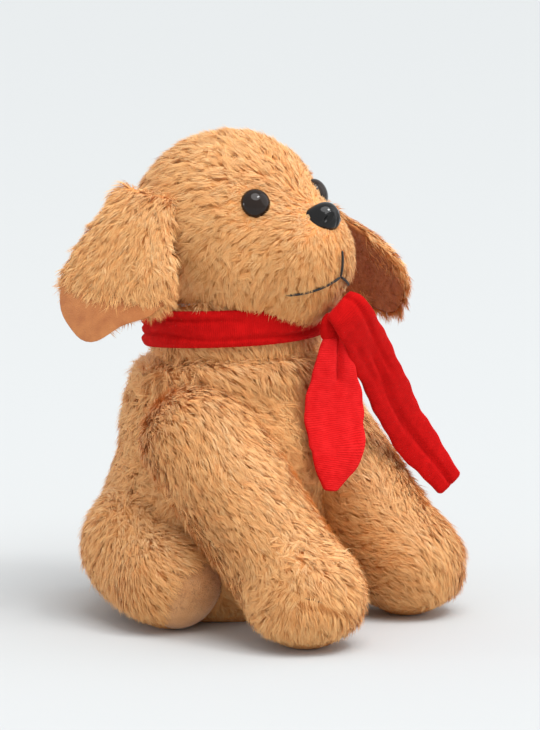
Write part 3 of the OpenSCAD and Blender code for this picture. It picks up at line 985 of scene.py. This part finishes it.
def ribbon(name, body, node, cloth, points, halves, across, thick, creases, steps=110,
           around=56):
    """A soft flat tail of cloth; each crease in it is (place across, depth, width, start, end)."""
    path = smooth_path(np.array(points) * MM, steps)
    half = smooth_path(halves, steps)[:, 0] * MM
    tangent = unit(np.gradient(path, axis=0))
    across = unit(np.tile(across, (steps, 1)) - (tangent @ unit(across))[:, None] * tangent)
    normal = unit(np.cross(across, tangent))
    normal *= np.sign(-normal[steps // 2, 1])
    run = np.concatenate([[0], np.cumsum(np.linalg.norm(np.diff(path, axis=0), axis=1))])
    share = run / run[-1]
    phi = np.linspace(0, 2 * math.pi, around, endpoint=False)
    vertices, uvs = [], []
    for i in range(steps):
        edge = 1 + 0.035 * math.sin(run[i] / MM * 0.21 + 1) + 0.02 * math.sin(run[i] / MM * 0.53)
        a = half[i] * edge * power(np.cos(phi), 0.8)
        place = a / half[i]
        b = thick / 2 * MM * power(np.sin(phi), 0.62)
        dip = np.zeros(around)
        for where, depth, width, start, end in creases:
            fade = np.clip((share[i] - start) * 8, 0, 1) * np.clip((end - share[i]) * 8, 0, 1)
            wander = 0.10 * math.sin(share[i] * 9 + where * 5)
            dip += depth * MM * fade * np.exp(-((place - where - wander) / width) ** 2)
        b = b - dip * np.where(b > 0, 1, 0.35) + 0.35 * MM * math.sin(run[i] / MM * 0.16) * place
        end_cap = min(1, (steps - 1 - i) / 2.2 + 0.15, i / 2.2 + 0.15) ** 0.5
        vertices.append(path[i] + (a * (0.75 + 0.25 * end_cap))[:, None] * across[i]
                        + (b * end_cap)[:, None] * normal[i])
        uvs.append(np.stack([a + np.where(b > 0, 0, 0.1), np.full(around, run[i])], axis=1))
    made = closed_strip(name, np.array(vertices), np.array(uvs), False)
    dress(made, body, node, cloth)


def closed_strip(name, vertices, uvs, looped):
    """Skins rows of points, closed in a loop or with an end face, with UVs in metres."""
    rows, around = vertices.shape[:2]
    faces, face_uvs = [], []
    flat_uv = uvs.reshape(-1, 2)
    for i in range(rows if looped else rows - 1):
        for k in range(around):
            a, b = i * around + k, i * around + (k + 1) % around
            step = around if i < rows - 1 else -i * around
            faces.append((a, b, b + step, a + step))
            corners = [flat_uv[a], flat_uv[b], flat_uv[b + step], flat_uv[a + step]]
            if i == rows - 1:
                turn_on = flat_uv[a][1] + flat_uv[around][1] - flat_uv[0][1]
                corners[2] = (corners[2][0], turn_on)
                corners[3] = (corners[3][0], turn_on)
            face_uvs.append(corners)
    points = vertices.reshape(-1, 3)
    if not looped:
        points = np.concatenate([points, vertices[:1].mean(1), vertices[-1:].mean(1)])
        last = (rows - 1) * around
        for k in range(around):
            faces.append((len(points) - 2, (k + 1) % around, k))
            face_uvs.append([flat_uv[0], flat_uv[(k + 1) % around], flat_uv[k]])
            faces.append((len(points) - 1, last + k, last + (k + 1) % around))
            face_uvs.append([flat_uv[last], flat_uv[last + k], flat_uv[last + (k + 1) % around]])
    made = mesh_object(name, points, faces)
    layer = made.data.uv_layers.new(name="cloth")
    layer.data.foreach_set("uv", np.array([c for f in face_uvs for c in f], float).reshape(-1))
    work = bmesh.new()
    work.from_mesh(made.data)
    bmesh.ops.recalc_face_normals(work, faces=work.faces)
    work.to_mesh(made.data)
    work.free()
    return made


def make_band(steps=180, around=60):
    """The folded band round the neck: a flat tube with two soft folds that run round it."""
    side_way = unit(np.cross(NECK_AXIS, (0, 1, 0)))
    front_way = np.cross(side_way, NECK_AXIS)
    phi = np.linspace(0, 2 * math.pi, around, endpoint=False)
    vertices, uvs = [], []
    for i in range(steps):
        theta = i / steps * 2 * math.pi
        height = BAND_HALF * power(np.sin(phi), 0.72)
        place = height / BAND_HALF
        deep = 3.0 * MM * power(np.cos(phi), 0.6)
        outer = np.where(np.cos(phi) > 0, 1, 0)
        fold_low = -0.42 + 0.22 * math.sin(2 * theta + 0.4) + 0.08 * math.sin(5 * theta)
        fold_high = 0.36 + 0.20 * math.sin(3 * theta + 2) + 0.07 * math.sin(7 * theta)
        dip = (1.5 + 0.6 * math.sin(3 * theta)) * MM * np.exp(-((place - fold_low) / 0.13) ** 2)
        dip += (1.1 + 0.9 * math.sin(2 * theta + 1)) * MM * np.exp(-((place - fold_high) / 0.12) ** 2)
        swell = 0.5 * MM * np.sin(4 * theta + 3 * place)
        radius = BAND_R + deep + outer * (swell * (1 - place ** 2) - dip)
        rise = BAND_RISE + height + 0.7 * MM * math.sin(2 * theta + 1.2)
        way = math.cos(theta) * side_way + math.sin(theta) * front_way
        vertices.append(NECK_BASE + rise[:, None] * NECK_AXIS + radius[:, None] * way)
        uvs.append(np.stack([height + (1 - outer) * 0.1, np.full(around, theta * 44 * MM)], axis=1))
    made = closed_strip("scarf_band_cloth", np.array(vertices), np.array(uvs), True)
    dress(made, "torso", "scarf_band", SCARF)


make_band()
# The short tail wears the brighter copy of the velour, which paints light on it.
ribbon("scarf_short_tail_cloth", "short_scarf_tail", "scarf_short_tail", SCARF_PAINTED_LIT,
       [[0, -70, 137], [0, -69.5, 126], [1.5, -68, 112], [2, -68, 97], [2.5, -69.5, 84], [1, -68, 72],
        [0, -67, 64]],
       [5.5, 9.2, 13.4, 14.6, 13.6, 8.5, 3.2], (0.85, -0.5, 0), 4.6,
       [(0.12, 3.3, 0.12, -0.2, 0.38), (-0.1, 0.9, 0.2, 0.3, 0.9), (0.5, 0.7, 0.12, 0.2, 0.8)])
ribbon("scarf_long_tail_cloth", "long_scarf_tail", "scarf_long_tail", SCARF,
       [[-1, -72, 153], [3.4, -77.8, 146], [22.6, -77, 121.5], [45.5, -77, 90], [61, -81, 71],
        [70.5, -85, 58.5]],
       [8.0, 10.4, 11.0, 10.6, 9.2, 6.8], (0.75, -0.35, 0.55), 4.8,
       [(-0.05, 1.9, 0.13, 0.18, 1.1), (0.45, 1.2, 0.12, -0.2, 0.45), (-0.5, 0.7, 0.14, 0.1, 0.6)])


def make_knot():
    """A small wrapped fold where both tails leave the band."""
    middle = (low("scarf_knot") + high("scarf_knot")) / 2 + np.array([-4, 0, 0]) * MM
    size = (high("scarf_knot") - low("scarf_knot")) / 2

    def field(p):
        q = (p - middle) / (size * np.array([0.98, 0.95, 0.98]))
        crease = 0.10 * np.exp(-((q[:, 0] * 0.8 + q[:, 2] * 0.5 - 0.15) / 0.14) ** 2)
        crease += 0.08 * np.exp(-((q[:, 0] * 0.7 - q[:, 2] * 0.6 + 0.3) / 0.14) ** 2)
        return (np.abs(q) ** 2.4).sum(1) ** (1 / 2.4) - 1 + crease

    made = soft_form("scarf_knot_cloth", middle, field, 5, 0.04, floor=False)
    dress(made, "torso", "scarf_knot", SCARF_PLAIN)


make_knot()

# ---- what stays as modelled ----

KEPT = {"nose_washer": WASHER, "eye_washer_left": WASHER, "eye_washer_right": WASHER,
        "pellet_pouch": POUCH_CLOTH}
for node in frame["nodes"]:
    if node.endswith("_stuffing") and node != "torso_stuffing":
        KEPT[node] = WADDING
for node, material in KEPT.items():
    kept_node = bpy.data.objects[node]
    kept_node.data.materials.clear()
    kept_node.data.materials.append(material)

# ---- floor, light ----


def make_lamp(name, kind, way, energy):
    data = bpy.data.lights.new(name, kind)
    data.energy = energy
    lamp = bpy.data.objects.new(name, data)
    lamp.rotation_euler = Vector(way).to_track_quat("Z", "Y").to_euler()
    bpy.context.scene.collection.objects.link(lamp)
    return lamp


def make_stage():
    half = 12
    corners = [(-half, -half, 0), (half, -half, 0), (half, half, 0), (-half, half, 0)]
    floor = mesh_object("floor", corners, [(0, 1, 2, 3)], smooth=False)
    material, _ = principled("floor_paint", (0.60, 0.617, 0.62), 0.95, Specular_IOR_Level=0.0)
    floor.data.materials.append(material)
    world = bpy.data.worlds.new("studio")
    world.use_nodes = True
    world.node_tree.nodes["Background"].inputs["Color"].default_value = (0.97, 0.985, 1.0, 1)
    world.node_tree.nodes["Background"].inputs["Strength"].default_value = 0.74
    bpy.context.scene.world = world
    make_lamp("fill", "SUN", (-0.15, -0.45, 1.0), 1.85).data.angle = math.radians(45)
    make_lamp("side", "SUN", (0.7, -0.8, 0.6), 0.6).data.angle = math.radians(60)
    aim = Vector((0, -0.02, 0.17))
    for name, way, distance, watts, width, height in (("softbox", (0.04, -0.54, 0.84), 2.6, 11, 0.55, 0.22),
                                                      ("window", (-0.72, 0.66, 0.1), 1.8, 3, 0.3, 0.3)):
        lamp = make_lamp(name, "AREA", way, watts)
        lamp.data.shape = "RECTANGLE"
        lamp.data.size, lamp.data.size_y = width, height
        lamp.location = aim + Vector(way).normalized() * distance


make_stage()
bpy.context.scene.view_settings.view_transform = "Standard"
